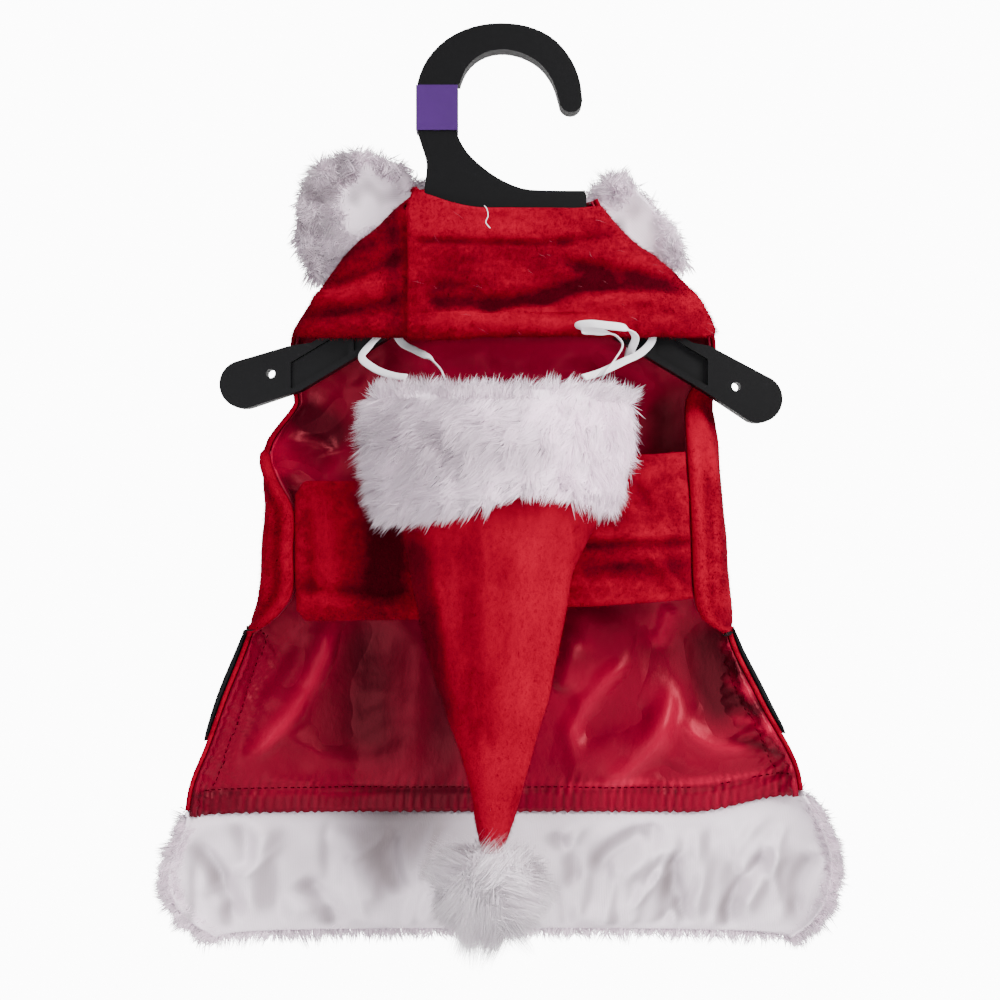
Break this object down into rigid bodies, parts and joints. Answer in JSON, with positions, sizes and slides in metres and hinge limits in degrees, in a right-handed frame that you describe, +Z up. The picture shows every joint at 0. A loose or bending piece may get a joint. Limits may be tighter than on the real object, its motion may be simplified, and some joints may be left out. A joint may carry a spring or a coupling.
{
  "type": "dog santa suit on a hanger",
  "caption": "Small dog's red plush santa coat with satin lining, fur hem and collar, its hat hung in front by elastic, on a moulded hanger.",
  "frame": {"origin": "inside top of the hanger's hook, where a rail holds it", "axes": "+Z up, -Y towards the viewer on the coat's lined belly side, +X to the viewer's right"},
  "size_m": [0.2554, 0.0831, 0.3508],
  "materials": {
    "plush": "short plush",
    "velour": "soft velour",
    "satin": "shiny lining satin",
    "fur": "long white pile on a smooth knit",
    "pompom": "loose white pile",
    "belt": "black band",
    "elastic": "woven flat elastic",
    "hanger_plastic": "moulded, slightly shiny",
    "clip_plastic": "plain purple"
  },
  "bodies": {
    "root": {"back_panel": "plush", "back_lining": "satin", "neck_strap_left": "plush", "neck_strap_right": "plush", "belly_strap_left": "plush", "belly_strap_right": "plush", "belt": "belt", "hem_trim": "fur", "collar_trim": "fur", "hat_cone": "velour", "hat_brim": "fur", "hat_pompom": "pompom", "hat_elastic_left": "elastic", "hat_elastic_right": "elastic", "hanger": "hanger_plastic", "size_clip": "clip_plastic"}
  },
  "joints": []
}
